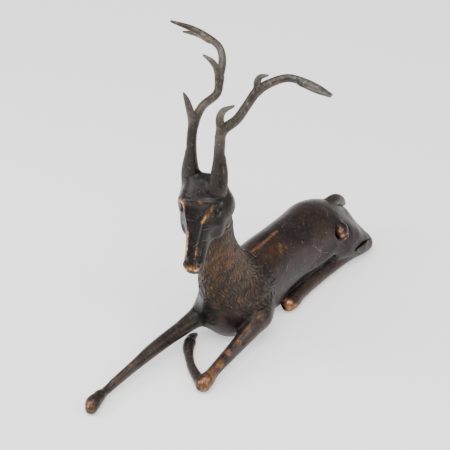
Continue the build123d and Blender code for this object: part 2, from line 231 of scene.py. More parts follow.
def smooth_table(rows, count=160):
    """Catmull-Rom values of a table of rows, sampled evenly in the first column."""
    rows = np.array(rows, float)
    s = np.linspace(rows[0, 0], rows[-1, 0], count)
    slopes = np.gradient(rows, rows[:, 0], axis=0)
    k = np.clip(np.searchsorted(rows[:, 0], s, side="right") - 1, 0, len(rows) - 2)
    step = rows[k + 1, 0] - rows[k, 0]
    t = ((s - rows[k, 0]) / step)[:, None]
    h = step[:, None]
    value = ((2 * t**3 - 3 * t**2 + 1) * rows[k] + (t**3 - 2 * t**2 + t) * h * slopes[k]
             + (-2 * t**3 + 3 * t**2) * rows[k + 1] + (t**3 - t**2) * h * slopes[k + 1])
    return s, value


def oval(u, v, half_u, half_v):
    """Distance to an ellipse, from inside and outside."""
    near = np.sqrt((u / half_u) ** 2 + (v / half_v) ** 2) + 1e-6
    steep = np.sqrt((u / half_u**2) ** 2 + (v / half_v**2) ** 2) + 1e-6
    return near * (near - 1) / steep


# ---- torso -----------------------------------------------------------------------------------
# (y, half width, centre height, half height)
TORSO = [
    (-46.8, 0.6, 35, 0.6), (-46, 6, 35, 7), (-43.5, 13, 34.5, 15), (-37, 21.5, 34, 25),
    (-22, 29, 34, 37), (8, 31.5, 35, 44), (40, 31, 37, 45), (70, 30, 36.5, 44.5),
    (100, 31, 35.5, 44.5), (128, 33, 35, 43.5), (150, 31, 31, 39), (168, 25.5, 28, 30),
    (180, 17, 26, 19), (188, 6, 25, 7),
]
torso_s, torso_rows = smooth_table(TORSO)


def torso_body(x, y, z):
    half, middle, tall = [np.interp(y, torso_s, torso_rows[:, i]) for i in (1, 2, 3)]
    flank = oval(x, z - middle, half, tall)
    beyond = np.maximum(y - TORSO[-1][0], TORSO[0][0] - y)
    return np.maximum(flank, beyond)


TORSO_SHAPE = ((-36, -50, -8), (36, 190, 84), torso_body)

# ---- neck ------------------------------------------------------------------------------------
NECK_LEAN = math.radians(22)
NECK_UP = np.array([0, -math.sin(NECK_LEAN), math.cos(NECK_LEAN)])
NECK_FRONT = np.array([0, -math.cos(NECK_LEAN), -math.sin(NECK_LEAN)])
# (middle x, y and z, half width, half depth)
NECK_RINGS = [
    (0, -3, 30, 29, 37), (-1, -15, 60, 27, 35), (-0.5, -26, 84, 22, 29.5),
    (0, -33, 105, 18.5, 24.5), (1, -38, 127, 17, 20.5), (3, -41, 149, 16.5, 18.5),
    (4, -43, 176, 15.5, 16),
]
neck_table = []
for cx, cy, cz, half, deep in NECK_RINGS:
    centre = np.array([0, cy, cz])
    neck_table.append((float(centre @ NECK_UP), cx, float(centre @ NECK_FRONT), half, deep))
neck_s, neck_rows = smooth_table(neck_table)


def neck_frame(x, y, z):
    up = y * NECK_UP[1] + z * NECK_UP[2]
    front = y * NECK_FRONT[1] + z * NECK_FRONT[2]
    return up, front


def neck_body(x, y, z):
    up, front = neck_frame(x, y, z)
    cx, cf, half, deep = [np.interp(up, neck_s, neck_rows[:, i]) for i in (1, 2, 3, 4)]
    side = oval(x - cx, front - cf, half, deep)
    beyond = np.maximum(up - neck_s[-1], neck_s[0] - up)
    return smooth_max(side, beyond, 6)


NECK_SHAPE = ((-32, -66, 20), (32, 36, 182), neck_body)

# ---- head ------------------------------------------------------------------------------------
SKULL = np.array([0, -54, 184.0])
HEAD_TURN, HEAD_ROLL, FACE_PITCH = 18, -6, 54
head_spin = (
    Matrix.Rotation(math.radians(HEAD_TURN), 3, "Z")
    @ Matrix.Rotation(math.radians(HEAD_ROLL), 3, "Y")
    @ Matrix.Rotation(math.radians(90 + FACE_PITCH), 3, "X")
)
HEAD = np.array(head_spin)     # columns: to the stag's left, out of the face, down the face


def on_head(u, v, w):
    """Point from skull axes: u to the stag's left, v out of the face, w down the face."""
    return SKULL + HEAD @ np.array([u, v, w], float)


# (w, half width, half depth, middle depth, front half width, front height)
HEAD_RINGS = [
    (-28, 10, 11, 5, 8, 13), (-22, 18, 17, 3, 12, 18.5), (-12, 24.5, 21, 1, 15, 21.5),
    (-3, 27, 22.5, 0, 17, 22.5), (3, 27, 22.5, 0, 16, 22), (10, 25, 21.5, 0.5, 13.5, 20),
    (20, 20.5, 19, 2.5, 10, 19), (30, 15.8, 16, 5, 7.5, 18.6), (42, 12, 13, 8, 6, 18.6),
    (54, 10.6, 10.8, 10.2, 5.6, 19), (62, 10.4, 10, 11, 6, 19.6), (68, 9, 8.4, 11.2, 5, 18.6),
    (72, 5.5, 5, 11, 3, 15),
]
head_s, head_rows = smooth_table(HEAD_RINGS)
CHEEK_OUT = 1.6


def head_body(x, y, z):
    dx, dy, dz = x - SKULL[0], y - SKULL[1], z - SKULL[2]
    u, v, w = [dx * HEAD[0, i] + dy * HEAD[1, i] + dz * HEAD[2, i] for i in range(3)]
    half, deep, middle, plate, front = [
        np.interp(w, head_s, head_rows[:, i]) for i in (1, 2, 3, 4, 5)
    ]
    ring = oval(u, v - middle, half, deep)
    face = v - front
    # slanted cheek planes run from the edge of the front plate to the widest part of the ring,
    # and stand a little outside it
    across, back = half - plate, front - middle
    size = np.sqrt(across**2 + back**2) + 1e-6
    cheek = ((np.abs(u) - plate) * back + (v - front) * across) / size
    cheek = cheek - CHEEK_OUT
    solid = smooth_max(ring, face, 2.5)
    solid = smooth_max(solid, cheek, 3.0)
    beyond = np.maximum(w - head_s[-1], head_s[0] - w)
    return smooth_max(solid, beyond, 5)


HEAD_LOW, HEAD_HIGH = box_mm("head_casting")
HEAD_SHAPE = (HEAD_LOW - 4, HEAD_HIGH + 4, head_body)


# ---- sculpting steps shared by every casting of the body ----------------------------------------
def head_steps():
    """Brow, eye ridges, sockets, snout, nostrils, lips and jaw: (mode, shape, blend)."""
    steps = []

    def add(shape, blend):
        steps.append(("add", shape, blend))

    def cut(shape, blend):
        steps.append(("cut", shape, blend))

    # brow ledge across the face
    ledge = [(-21, 13.5, 1, 2.4), (-12, 19, 1, 2.6), (0, 21, 2.5, 2.4), (12, 19.2, 1, 2.6),
             (20, 14.5, 0, 2.2)]
    brow = [(*on_head(u, v, w), r) for u, v, w, r in ledge]
    add(limb(brow), 3)
    for side in (-1, 1):
        # eye ridge runs down from the brow and fades onto the snout
        ridge = [(14, 18, 3, 2.4), (12, 18, 9, 2.2), (9.5, 17.6, 18, 2.0), (7.6, 17.4, 26, 1.6),
                 (6.2, 17.4, 38, 1.5), (5.8, 17.8, 52, 1.6)]
        eyelid = [(*on_head(side * u, v, w), r) for u, v, w, r in ridge]
        add(limb(eyelid), 2)
        # shallow eye in the side of the face under the ridge
        cut(egg(on_head(side * 20.5, 14, 9.5), (3.4, 2.6, 5), HEAD), 4)
        add(egg(on_head(side * 18.6, 11.5, 9.5), (2.6, 2.6, 3.6), HEAD), 2)
        # cheek and back of the jaw
        add(egg(on_head(side * 15, -3, 20), (8, 12, 15), HEAD), 6)
        add(egg(on_head(side * 20, -6, 2), (8.5, 12, 13), HEAD), 5)
        # hollow between jaw and snout
        cut(egg(on_head(side * 18.5, 9, 36), (5, 6, 11), HEAD), 5)
        # nostril and rim of the muzzle
        add(egg(on_head(side * 5.6, 17, 63), (3.6, 3.2, 4), HEAD), 2)
        cut(egg(on_head(side * 5.4, 20.2, 66.5), (1.5, 2.2, 1.6), HEAD), 0.8)
        # corner of the mouth
        cut(cone(on_head(side * 10.8, 9, 68), on_head(side * 11.2, 6, 54), 0.7, 0.5), 0.8)
    # shallow dish under the brow and flat bridge below it
    cut(egg(on_head(0, 23.5, 15), (9, 4.2, 11), HEAD), 4)
    cut(egg(on_head(0, 21.4, 42), (3.6, 2.2, 16), HEAD), 2)
    # notch between the nostrils, and the slit of the mouth
    cut(cone(on_head(0, 20.6, 66), on_head(0, 16.5, 72.5), 0.9, 0.8), 0.8)
    cut(cone(on_head(-9, 8.5, 71.8), on_head(9, 8.5, 71.8), 0.8), 0.8)
    return steps


# ---- antlers: (x, y, z, radius) --------------------------------------------------------------
RIGHT_BEAM = [
    (-15, -53, 200, 8), (-16, -53, 212, 6.8), (-17, -53, 229, 5.5), (-17.2, -52.5, 250, 5.0),
    (-17.2, -48.5, 266, 5.0), (-20.5, -31, 275, 4.3), (-18.6, -10, 280.4, 4.2),
    (-23, -0.5, 293, 4.4), (-30, 13, 301.5, 4.0), (-40.5, 22, 308, 3.7), (-56.6, 26, 310.8, 3.6),
    (-76.2, 24, 315.4, 3.2), (-97, 16.5, 320, 1.3),
]
RIGHT_BROW = [
    (-17, -50, 266, 4.6), (-22.8, -49, 282, 3.6), (-26, -48.5, 289, 2.8), (-30, -48, 295, 1.1),
]
RIGHT_MID = [(-22, -2, 291, 4), (-26, -3, 304, 3.3), (-31, -4, 309.5, 2.7), (-39, -5, 312.8, 1.2)]
RIGHT_TOP = [(-56, 25.5, 309, 3.4), (-71, 28, 308.5, 2.9), (-88, 25, 307.2, 1.1)]
LEFT_BEAM = [
    (13.5, -53, 207, 8), (14, -53, 220, 6.6), (16.3, -53, 239, 5.7), (17.1, -52.5, 257, 5.4),
    (17.3, -49.5, 270.5, 5.3), (21, -31, 276, 4.8), (18.3, -10, 281.6, 4.6), (23.8, -1, 295, 4.8),
    (32.4, 13, 301.4, 4.3), (42.4, 22, 304.7, 4.0), (57.3, 26, 304.4, 3.9), (76.4, 24, 305.6, 3.4),
    (98, 16, 310, 1.4),
]
LEFT_BROW = [
    (17.3, -50, 271, 4.8), (14.8, -49.5, 284, 4.0), (18, -48.6, 293.5, 3.3), (30.4, -48, 304, 1.2),
]
LEFT_MID = [(23.8, -1, 295, 4.2), (23.6, -2, 304.6, 3.6), (28, -3.5, 313, 2.8), (38, -5, 319.4, 1.2)]
LEFT_TOP = [(56, 25.5, 302.5, 3.5), (71.4, 28, 299, 3), (90, 25, 300.6, 1.1)]
TIP_SEAM = np.array([42.4, 22, 304.7])
TIP_WAY = np.array([25, 13, 2.5]) / np.linalg.norm([25, 13, 2.5])

# ---- ears: (x, y, z, radius) -----------------------------------------------------------------
RIGHT_EAR = [
    (-21.5, -54.2, 193, 5), (-22.8, -54.3, 203, 5.2), (-22.4, -54.3, 218, 4.4),
    (-20.6, -54.3, 234, 1.8),
]
LEFT_EAR = [
    (18.5, -50.8, 205, 4.8), (19.6, -50.7, 213, 4.9), (20.2, -50.7, 228, 4.2),
    (19.6, -50.8, 241, 1.9),
]
LEFT_EAR_HOLLOW = [
    (21.4, -57.2, 211, 1.6), (21.8, -57.4, 220, 3.0), (21.8, -57.2, 230, 2.8),
    (20.6, -55.8, 238, 1.0),
]
RIGHT_EAR_HOLLOW = [(-24.5, -60.2, 198, 1.0), (-24.5, -60.2, 207, 1.5), (-23, -59.2, 220, 0.7)]

# ---- legs and tail: (x, y, z, radius) --------------------------------------------------------
RIGHT_FORELEG = [
    (-17, -24, 24, 13), (-22, -44, 21, 9.6), (-25, -66, 18.5, 7.8), (-27, -87, 17.3, 7.2),
    (-29, -109, 15, 6.6), (-30, -132, 12.5, 5.3), (-31, -158, 9.6, 4.5), (-31.2, -180, 7.6, 4.3),
    (-30.6, -188, 7.6, 5.6), (-29.5, -198, 7.6, 7.3), (-27, -204, 6.2, 5.8),
]
LEFT_FOREARM = [
    (26, 4, 28, 14.5), (32.5, -10, 24, 11.2), (34.5, -38, 17, 8.2), (36.5, -66, 14.2, 6.9),
    (38, -90, 11.4, 6.2), (39.5, -104, 8.6, 7.2), (40, -109, 8, 7.2),
]
LEFT_CANNON = [
    (39, -110, 7.4, 6.8), (27, -103, 7, 5.6), (13, -94, 6.4, 4.7), (0, -82, 6.2, 4.7),
    (-8, -73, 6.6, 6.0), (-13, -65, 6.6, 6.2),
]
LEFT_FORE_HOOF = [(-13, -64, 6.2, 5.8), (-17, -56, 5.8, 4.8), (-18, -48.5, 4.6, 2.6)]
LEFT_HIND = [
    (34, 181.5, 10.5, 9), (29, 158, 9.4, 8.8), (27, 126, 8.8, 8.4), (27, 94, 8.6, 8.2),
    (28.8, 66, 8.4, 7.9), (30.4, 54, 8.2, 8.6), (30, 48, 8.2, 8.4),
]
TAIL = [(0, 146, 59, 7), (0, 160, 61, 6.4), (0, 172, 59.5, 6), (0, 182, 53, 5), (0, 188.4, 45, 3)]


def mirrored(points):
    """The same limb on the other side of the body."""
    return [(-p[0], *p[1:]) for p in points]


def body_steps():
    """Everything that gives the joined skin of torso, neck, shoulders, haunches and belly."""
    steps = [("add", TORSO_SHAPE, 0), ("add", NECK_SHAPE, 9)]

    def add(shape, blend):
        steps.append(("add", shape, blend))

    def cut(shape, blend):
        steps.append(("cut", shape, blend))

    for side in (-1, 1):
        # haunch swells from the hip down to the hock
        add(cone((side * 14, 138, 44), (side * 24, 160, 28), 18, 14.5), 9)
        add(cone((side * 23, 152, 29), (side * 32, 179, 13), 15, 9.5), 9)
        add(cone((side * 25, 140, 22), (side * 31, 170, 15), 11.5, 11), 8)
        add(cone((side * 6, 168, 36), (side * 27, 182, 14), 15, 8), 9)
        add(cone((side * 20, 128, 30), (side * 24, 92, 20), 13, 9), 9)
    # shoulder of the folded leg, and of the outstretched one
    add(egg((19, 2, 38), (15, 22, 24), (18, 0, 0)), 8)
    add(egg((-17, -16, 33), (14, 20, 20), (20, 0, 0)), 8)
    # hollow between belly and each hind foot
    for side in (-1, 1):
        cut(cone((side * 33, 122, 22), (side * 34, 54, 18), 6, 7.5), 6)
        cut(cone((side * 31, 62, 7), (side * 27, 40, 5), 6, 8), 5)
    return steps


def apply(field, steps):
    for mode, shape, blend in steps:
        field.merge(shape, mode, blend)


def limb(points, parts=5):
    """One smooth limb as a single shape: (low, high, distance)."""
    cones = chain(points, parts)
    low = np.min([c[0] for c in cones], axis=0)
    high = np.max([c[1] for c in cones], axis=0)
    return low, high, cones


def antler_steps(beam, tines):
    """One antler: a beam and the tines that grow from it."""
    steps = [("add", limb(beam), 1.2)]
    for tine in tines:
        steps.append(("add", limb(tine), 2.5))
    return steps


def ear_steps(ear):
    """Upright ear."""
    return [("add", limb(ear), 0)]


def ear_hollows():
    """Hollow down the front of each ear, beside the antler stem."""
    return [("cut", limb(LEFT_EAR_HOLLOW), 0.6), ("cut", limb(RIGHT_EAR_HOLLOW), 0.6)]


def hoof_cleft(low, high, width):
    """Groove that parts the two toes of a hoof."""
    return ("cut", cone(low, high, width, width * 0.8), 0.8)


def foreleg_steps():
    """Outstretched right foreleg with a knee and a rounded, cleft hoof."""
    steps = [("add", limb(RIGHT_FORELEG), 0)]
    steps.append(("add", cone((-25, -70, 24), (-31, -165, 12.5), 2.4, 1.8), 4))
    steps.append(("add", egg((-31, -186, 9.6), (4.6, 6, 4)), 2.5))
    steps.append(hoof_cleft((-28.8, -211, 4), (-29.6, -200, 15.4), 0.7))
    return steps


def forearm_steps():
    """Left forearm from the elbow to the bent knee, with a ridge along its outside."""
    return [
        ("add", limb(LEFT_FOREARM), 0),
        ("add", egg((32, -7, 27), (13.5, 15, 12.5)), 6),
        ("add", egg((39.5, -103, 11), (6.6, 9, 6.4)), 3),
        ("add", cone((35, -8, 35), (38, -66, 20), 3.4, 2.2), 5),
        ("add", cone((38, -66, 20), (40, -98, 15.5), 2.2, 2.0), 4),
    ]


def cannon_steps():
    """Left cannon bone turned back from the knee, with its pointed hoof."""
    return [
        ("add", limb(LEFT_CANNON), 0),
        ("add", limb(LEFT_FORE_HOOF), 2),
        ("cut", cone((-19, -66, 9), (-9, -58, 12.5), 0.9), 1),
        hoof_cleft((-18.5, -46, 8), (-13, -62, 13.6), 0.6),
    ]


def hind_steps(side):
    """Metatarsus along the belly, hock bulb at the back and hoof at the front."""
    leg = LEFT_HIND if side > 0 else mirrored(LEFT_HIND)
    steps = [("add", limb(leg), 0)]
    steps.append(("cut", cone((side * 27.5, 37, 5), (side * 27.5, 46, 8), 4.6, 3.4), 1.0))
    steps.append(("cut", cone((side * 40, 57, 3), (side * 33, 56, 17.5), 0.8), 1))
    return steps


def tail_steps():
    """Short tail lying over the rump."""
    steps = [("add", limb(TAIL), 0)]
    steps.append(("cut", cone((7.5, 150, 56), (8.5, 178, 50), 0.9), 1.5))
    steps.append(("cut", cone((-7.5, 150, 56), (-8.5, 178, 50), 0.9), 1.5))
    return steps


def knob_steps():
    """Knob and small lobes on the left haunch, with a crease in front of them."""
    return [
        ("cut", egg((31, 140.5, 50), (4.6, 12, 12)), 2.0),
        ("add", egg((29.4, 140.5, 50.5), (8.6, 8.0, 8.6)), 0.9),
        ("add", egg((32.6, 137.3, 43.2), (4.4, 3.4, 3.4)), 1.0),
        ("add", egg((32.4, 144.3, 43), (4.6, 3.6, 3.8)), 1.0),
        ("cut", cone((36, 141, 44), (32, 141.5, 39), 0.7), 0.8),
    ]


# ---- seams: a point, and the way that is kept ---------------------------------------------------
SEAM_GAP = -0.8                # pieces run this far past their seams, mm


def plane(point, way):
    """Half space behind a plane: negative on the side that the way points from."""
    way = np.array(way, float) / np.linalg.norm(way)
    offset = float(np.dot(point, way))

    def distance(x, y, z):
        return x * way[0] + y * way[1] + z * way[2] - offset

    return distance


def across_neck(lean, sign):
    """Way up the neck, or down it, leaning forward by an angle in degrees."""
    angle = math.radians(lean)
    return np.array([0, -math.sin(angle), math.cos(angle)]) * sign


NECK_SEAM, NECK_SEAM_LEAN = (0, -14, 66), 27
HEAD_SEAM, HEAD_SEAM_LEAN = (4, -42, 152), 8
below_neck_seam = plane(NECK_SEAM, across_neck(NECK_SEAM_LEAN, 1))
above_neck_seam = plane(NECK_SEAM, across_neck(NECK_SEAM_LEAN, -1))
below_head_seam = plane(HEAD_SEAM, across_neck(HEAD_SEAM_LEAN, 1))
above_head_seam = plane(HEAD_SEAM, across_neck(HEAD_SEAM_LEAN, -1))
before_tip = plane(TIP_SEAM, TIP_WAY)
after_tip = plane(TIP_SEAM, -TIP_WAY)

# name: (steps, fillet, families it is filleted to)
FAMILIES = {
    "body": (body_steps() + knob_steps(), 0, []),
    "head": ([("add", HEAD_SHAPE, 0)] + head_steps(), 6, ["body"]),
    "right_fore": (foreleg_steps(), 13, ["body"]),
    "left_fore": (forearm_steps(), 9, ["body"]),
    "left_cannon": (cannon_steps(), 3, ["left_fore"]),
    "right_hind": (hind_steps(-1), 4, ["body"]),
    "left_hind": (hind_steps(1), 4, ["body"]),
    "tail": (tail_steps(), 3, ["body"]),
    "right_antler": (antler_steps(RIGHT_BEAM, [RIGHT_BROW, RIGHT_MID, RIGHT_TOP]), 5, ["head"]),
    "left_antler": (antler_steps(LEFT_BEAM, [LEFT_BROW, LEFT_MID, LEFT_TOP]), 5, ["head"]),
    "right_ear": (ear_steps(RIGHT_EAR), 5, ["head", "right_antler"]),
    "left_ear": (ear_steps(LEFT_EAR), 5, ["head", "left_antler"]),
}
# hollows cut after every family is joined
CARVED = ear_hollows()

# name: (families owned, each with the half spaces it keeps; cell in mm; slot)
PIECES = {
    "torso_shell": ({"body": [below_neck_seam]}, 0.85, "patina_body"),
    "neck_shell": ({"body": [above_neck_seam, below_head_seam]}, 0.6, "patina_mane"),
    "head_casting": ({"head": [], "body": [above_head_seam]}, 0.55, "patina_head"),
    "right_antler": ({"right_antler": []}, 0.6, "patina_antler"),
    "left_antler": ({"left_antler": [before_tip]}, 0.6, "patina_antler"),
    "left_antler_tip": ({"left_antler": [after_tip]}, 0.6, "patina_antler_tip"),
    "right_ear": ({"right_ear": []}, 0.45, "patina_ear"),
    "left_ear": ({"left_ear": []}, 0.45, "patina_ear"),
    "right_foreleg": ({"right_fore": []}, 0.7, "patina_leg"),
    "left_foreleg": ({"left_fore": [], "left_cannon": []}, 0.7, "patina_leg"),
    "right_hind_leg": ({"right_hind": []}, 0.8, "patina_hind"),
    "left_hind_leg": ({"left_hind": []}, 0.7, "patina_hind"),
    "tail": ({"tail": []}, 0.55, "patina_tail"),
}
BOX_INSET = 0.06               # every surface stays this far inside its CAD box, mm
BOX_PAD = 6.0                  # the grid of a piece runs this far past its CAD box, mm
OUTSIDE_BOX = 10               # weight of lying outside the CAD box when a seam is drawn


# ---- mane ----------------------------------------------------------------------------------------
MANE_OUTLINE = [
    (-75, 176), (-24, 172), (-5, 112), (14, 84), (26, 60), (20, 38), (4, 24), (-12, 28),
    (-30, 42), (-46, 56), (-75, 62),
]


def inside_outline(y, z, outline, soft):
    """1 inside a closed outline in the side view, fading to 0 over a soft width."""
    gap = np.full(y.shape, 1e9)
    inside = np.zeros(y.shape, bool)
    for (ay, az), (by, bz) in zip(outline, outline[1:] + outline[:1]):
        ey, ez = by - ay, bz - az
        share = np.clip(((y - ay) * ey + (z - az) * ez) / (ey**2 + ez**2), 0, 1)
        gap = np.minimum(gap, np.hypot(y - ay - share * ey, z - az - share * ez))
        crosses = (az > z) != (bz > z)
        level = np.where(crosses, ay + (z - az) * ey / (ez if ez else 1e-9), 0)
        inside ^= crosses & (y < level)
    signed = np.where(inside, gap, -gap)
    return np.clip(0.5 + signed / (2 * soft), 0, 1)


def hash01(n):
    """Number between 0 and 1 that looks random, the same for the same n."""
    return np.modf(np.abs(np.sin(n * 12.9898 + 4.137) * 43758.5453))[0]


def fur(points):
    """Height, 0 to 1, of wavy locks engraved down the mane, and where they lie."""
    x, y, z = points.T
    mask = inside_outline(y, z, MANE_OUTLINE, 2.5)
    up = y * NECK_UP[1] + z * NECK_UP[2]
    front = y * NECK_FRONT[1] + z * NECK_FRONT[2]
    cx, cf, half, deep = [np.interp(up, neck_s, neck_rows[:, i]) for i in (1, 2, 3, 4)]
    around = np.arctan2(x - cx, front - cf)
    u = around * 23
    v = up
    u = u + 1.7 * np.sin(v * 0.21 + around * 1.5) + 0.9 * np.sin(v * 0.47 + u * 0.35)
    total = np.zeros(len(points))
    for pitch, length, share in ((3.3, 17.0, 0.65), (2.1, 8.0, 0.35)):
        column = np.floor(u / pitch)
        across = u / pitch - column
        step = v / length + hash01(column)
        lock = np.floor(step)
        along = step - lock
        lift = 0.55 + 0.45 * hash01(lock * 3.1 + column * 7.7)
        total += share * np.sin(np.pi * across) ** 0.8 * np.sin(np.pi * along) ** 0.45 * lift
    return total, mask


# ---- worn places, some with a painted highlight, and tinted places: (centre, radius, strength) -------
def head_spot(u, v, w, radius, strength):
    """Round place given by skull axes."""
    return (tuple(on_head(u, v, w)), radius, strength)


# real wear where the metal shows through; the strongest spots also get a painted near-white highlight
RUBBED_AND_GLINTS = [
    head_spot(-19, 17, 2, 4.5, 1.3), head_spot(-17, 18, 8, 4, 1.4), head_spot(-13, 19, 4, 4, 0.7),
    head_spot(3, 22, 1.5, 3.5, 0.6), head_spot(9, 18, 17, 3.4, 1.0), head_spot(6, 19, 21, 2.6, 0.8),
    head_spot(0, 19, 66, 3.5, 1.3), head_spot(6, 18, 68, 3, 1.4), head_spot(-6, 18, 68, 3, 1.3),
    ((38, -14, 33), 7, 0.9), ((37, -32, 27), 5, 0.7), ((38, -50, 22), 5, 0.8),
    ((39, -68, 20), 5, 0.9), ((41, -84, 17), 6, 1.0), ((42, -98, 14), 7, 1.1),
    ((41, -110, 10), 8, 1.1), ((-29, -204, 9), 9, 0.6), ((-28, -110, 21), 5, 0.4),
    ((-29, -140, 17), 5, 0.5), ((-30, -160, 14), 5, 0.5),
    ((34, 44, 14), 4, 1.2), ((38, 49, 9), 4, 1.0), ((30, 41, 14), 4, 0.8), ((36, 42, 5), 4, 0.8),
    ((35, 134, 55), 3.2, 1.8), ((36, 136, 48), 3, 1.5), ((35, 147, 46), 4, 1.2),
    ((33, 148, 54), 3.5, 1.0), ((36, 141, 41), 3, 1.0), ((33, 122, 57), 4, 0.7),
    ((16, 50, 76), 6, 0.8), ((20, 58, 72), 5, 0.7), ((22, 46, 70), 5, 0.6),
    ((24, -58, 231), 4, 1.2), ((24, -58, 222), 3, 0.9), ((-12, -57, 8), 5, 0.4),
]
# rubbed edges, also carrying a painted highlight: (points along the edge, half width, strength)
RUBBED_AND_GLINT_EDGES = [
    ([(2, 10, 78.5), (3, 19, 80), (4, 31, 81.3), (4, 45, 82), (3, 62, 82)], 2.6, 1.15),
    ([on_head(15, 18.6, 3), on_head(13, 18.8, 9), on_head(10, 18, 15)], 1.7, 1.5),
    ([on_head(-7, 18.8, 31), on_head(-6.4, 19, 40), on_head(-6, 18.8, 57)], 1.2, 1.2),
    ([on_head(3.2, 19.4, 46), on_head(3.4, 19.4, 57)], 1.6, 0.9),
]
VERDIGRIS = [
    ((-20, -44, 14), 14, 0.8), ((0, -52, 208), 9, 0.6), ((33, 38, 5), 5, 0.9),
    ((-18, -8, 40), 10, 0.3), ((0, 175, 55), 14, 0.3), ((-17, -52, 245), 12, 0.35),
    ((18, -30, 280), 14, 0.35), ((-24, 4, 298), 14, 0.3),
]
WARM = [
    ((10, -40, 120), 24, 0.8), ((12, -30, 95), 26, 0.8), ((18, -12, 66), 26, 0.5),
    ((18, 38, 79), 12, 0.6), ((8, 160, 60), 12, 0.2),
]


MOST_MARKED = 1.5


def spots(points, places):
    """Sum of soft round places at points."""
    total = np.zeros(len(points))
    for centre, radius, strength in places:
        gap2 = ((points - np.array(centre)) ** 2).sum(1)
        total += strength * np.exp(-gap2 / radius**2)
    return np.clip(total, 0, MOST_MARKED)


def edges(points, lines):
    """Sum of soft bands along lines of straight steps at points."""
    total = np.zeros(len(points))
    for stops, half_width, strength in lines:
        nearest = np.full(len(points), np.inf)
        for start, end in zip(stops[:-1], stops[1:]):
            start = np.array(start, float)
            step = np.array(end, float) - start
            along = np.clip((points - start) @ step / (step @ step), 0, 1)
            gap2 = ((points - start - along[:, None] * step) ** 2).sum(1)
            nearest = np.minimum(nearest, gap2)
        total += strength * np.exp(-nearest / half_width**2)
    return total


def normals_of(points, quads):
    """Smooth normals, and a number that is negative when they point inwards."""
    diagonal_a = points[quads[:, 2]] - points[quads[:, 0]]
    diagonal_b = points[quads[:, 3]] - points[quads[:, 1]]
    face = np.cross(diagonal_a, diagonal_b)
    total = np.zeros_like(points)
    for corner in range(4):
        np.add.at(total, quads[:, corner], face)
    length = np.linalg.norm(total, axis=1, keepdims=True) + 1e-12
    volume = (points[quads[:, 0]] * face).sum()
    return total / length, volume


FUR_HEIGHT = 1.7                        # mm
FUR_LIFT = 0.15                         # the whole mane stands this far proud, mm
FUR_FADE = 5.0                          # strokes fade out this near a leg or the head, mm
ON_SKIN = 0.3                           # points this near the joined skin are not on a seam, mm
MANED = ("torso_shell", "neck_shell")
NEAR_BLUR, WIDE_BLUR = 1.2, 4.0         # mm
NEAR_EDGE, WIDE_EDGE = 3.0, 0.8         # share of each blur in the edge attribute


def family_field(grid, steps):
    """Field of one family on a grid, or None when it stays clear of the grid."""
    low = np.min([step[1][0] for step in steps if step[0] == "add"], axis=0) - FAR
    high = np.max([step[1][1] for step in steps if step[0] == "add"], axis=0) + FAR
    if grid.window(low, high) is None:
        return None
    alone = Field(grid.low, grid.low, grid.cell / COARSE)
    alone.axes, alone.d = grid.axes, np.full_like(grid.d, FAR)
    apply(alone, steps)
    return alone.d


def box_field(low, high, x, y, z):
    """Negative inside a box."""
    middle, size = (low + high) / 2, (high - low) / 2 - BOX_INSET
    return np.maximum(np.maximum(np.abs(x - middle[0]) - size[0], np.abs(y - middle[1]) - size[1]),
                      np.abs(z - middle[2]) - size[2])


def join_families(whole):
    """Fill a grid with every family, filleted to its anchors, and return each one's own field."""
    fields = {}
    for family, (steps, blend, anchors) in FAMILIES.items():
        alone = family_field(whole, steps)
        if alone is None:
            continue
        joined = alone
        for anchor in anchors:
            if anchor in fields:
                joined = smooth_min(joined, fields[anchor], blend)
        fields[family] = alone
        whole.d = np.minimum(whole.d, joined)
    apply(whole, CARVED)
    return fields


def claim_of(piece, fields, x, y, z, empty):
    """What one piece owns: its families, inside its half spaces and its CAD box."""
    claim = empty
    for family, halves in PIECES[piece][0].items():
        if family in fields:
            share = fields[family]
            for half in halves:
                share = np.maximum(share, half(x, y, z))
            claim = np.minimum(claim, share)
    return np.maximum(claim, OUTSIDE_BOX * box_field(*box_mm(piece), x, y, z))


def claims(name, whole, fields, x, y, z):
    """Claims of one piece, of all the others, and of the others that bear no mane."""
    empty = np.full_like(whole.d, FAR)
    own, other, bare = empty, empty, empty
    for piece in PIECES:
        low, high = box_mm(piece)
        if whole.window(low - FAR, high + FAR) is None:
            continue
        claim = claim_of(piece, fields, x, y, z, empty)
        if piece == name:
            own = claim
        else:
            other = np.minimum(other, claim)
            if piece not in MANED:
                bare = np.minimum(bare, claim)
    return own, other, bare


def engrave(points, normals, whole, clear):
    """Points moved to raise the mane, and the height of its strokes at each."""
    height, mask = fur(points)
    on_skin = np.abs(whole.sample(points)) < ON_SKIN
    mask = mask * np.clip(clear / FUR_FADE, 0, 1)
    strokes = (height - 0.5) * mask * on_skin
    shift = strokes * FUR_HEIGHT + FUR_LIFT * mask * on_skin
    return points + shift[:, None] * normals, strokes


